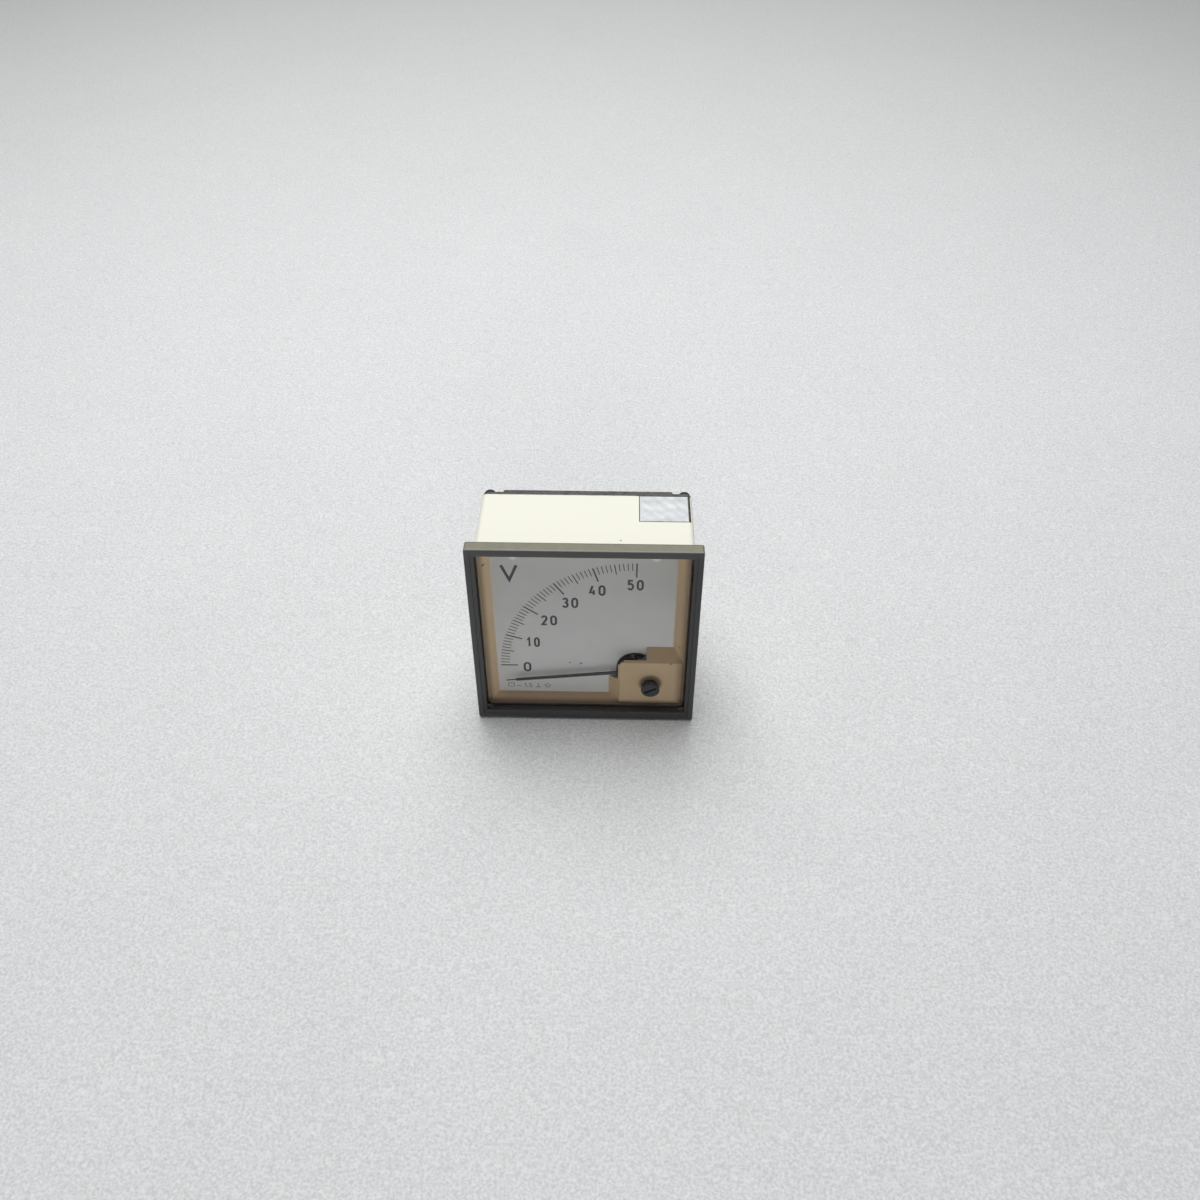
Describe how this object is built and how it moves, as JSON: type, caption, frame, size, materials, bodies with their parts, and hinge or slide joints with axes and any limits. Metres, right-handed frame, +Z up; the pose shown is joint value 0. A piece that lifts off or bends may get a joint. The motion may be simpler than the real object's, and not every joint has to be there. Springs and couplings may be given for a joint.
{
  "type": "analog panel meter",
  "caption": "Square moving-coil panel meter with a quadrant scale, a needle that turns on a corner pivot, a zero adjuster in its window and screw terminals on its back.",
  "frame": {"origin": "bottom centre of the bounding box, under the middle of the meter's depth", "axes": "+X to the viewer's right, +Y back through the panel towards the terminals, +Z up"},
  "size_m": [0.072, 0.0552, 0.072],
  "materials": {
    "frame_black": "moulded, satin",
    "glass": "clear, slightly dusty",
    "case_cream": "moulded, satin",
    "mask_tan": "moulded, matt",
    "dial_white": "satin white paint with black printing",
    "steel": "zinc plated",
    "spring_steel": "dull",
    "brass": "turned",
    "tinned": "tinned",
    "cover_black": "moulded, satin",
    "screw_black": "blackened",
    "board": "laminate",
    "nylon": "moulded",
    "resistor": "lacquered",
    "lead_red": "insulated wire",
    "lead_blue": "insulated wire",
    "iron": "turned soft iron",
    "magnet": "ground magnet",
    "die_cast": "die cast",
    "bronze": "bright bronze strip",
    "former": "bright",
    "enamel_wire": "enamelled copper wire",
    "hub_black": "painted black",
    "pointer_black": "painted black",
    "adjuster_black": "moulded, satin"
  },
  "bodies": {
    "meter": {"bezel_frame": "frame_black", "window_pane": "glass", "case_shell": "case_cream", "dial_mask": "mask_tan", "dial_plate": "dial_white", "dial_screws": "steel", "dial_pillars": "brass", "carrier_plate": "steel", "carrier_screws": "steel", "back_cover": "cover_black", "cover_screws": "screw_black", "terminal_stud_plus": "brass", "terminal_stud_minus": "brass", "base_washers": "steel", "base_nuts": "brass", "terminal_washers": "steel", "spring_washers": "spring_steel", "terminal_nuts": "brass", "solder_tags": "tinned", "circuit_board": "board", "board_spacers": "nylon", "board_screws": "steel", "series_resistors": "resistor", "lead_plus": "lead_red", "lead_minus": "lead_blue", "yoke_ring": "iron", "yoke_screws": "steel", "core_magnet": "magnet", "core_holder": "die_cast", "front_bridge": "brass", "rear_bridge": "brass", "bridge_screws": "steel", "front_jewel_screw": "brass", "rear_jewel_screw": "brass", "jewel_nuts": "brass", "rear_hairspring": "bronze"},
    "moving_coil": {"coil_former": "former", "coil_winding": "enamel_wire", "front_spindle": "steel", "rear_spindle": "steel", "pointer_hub": "hub_black", "pointer": "pointer_black", "balance_weights": "brass"},
    "zero_screw": {"zero_screw": "adjuster_black", "zero_clip": "spring_steel"},
    "zero_lever": {"zero_lever": "steel", "front_hairspring": "bronze"}
  },
  "joints": [
    {"name": "pointer_swing", "type": "hinge", "parent": "meter", "child": "moving_coil", "pos_m": [0.0161, 0, 0.0174], "axis": [0, 1, 0], "range_deg": [0, 102.5], "stiffness_Nm_per_rad": 0.00002},
    {"name": "zero_screw_turn", "type": "hinge", "parent": "meter", "child": "zero_screw", "pos_m": [0.0215, 0, 0.0131], "axis": [0, 1, 0], "range_deg": [-45, 45]},
    {"name": "zero_lever_turn", "type": "hinge", "parent": "meter", "child": "zero_lever", "pos_m": [0.0161, 0, 0.0174], "axis": [0, 1, 0], "range_deg": [-5.5, 5.5]}
  ],
  "couplings": [
    {"joint": "zero_lever_turn", "follows": "zero_screw_turn", "ratio": 0.1095}
  ]
}
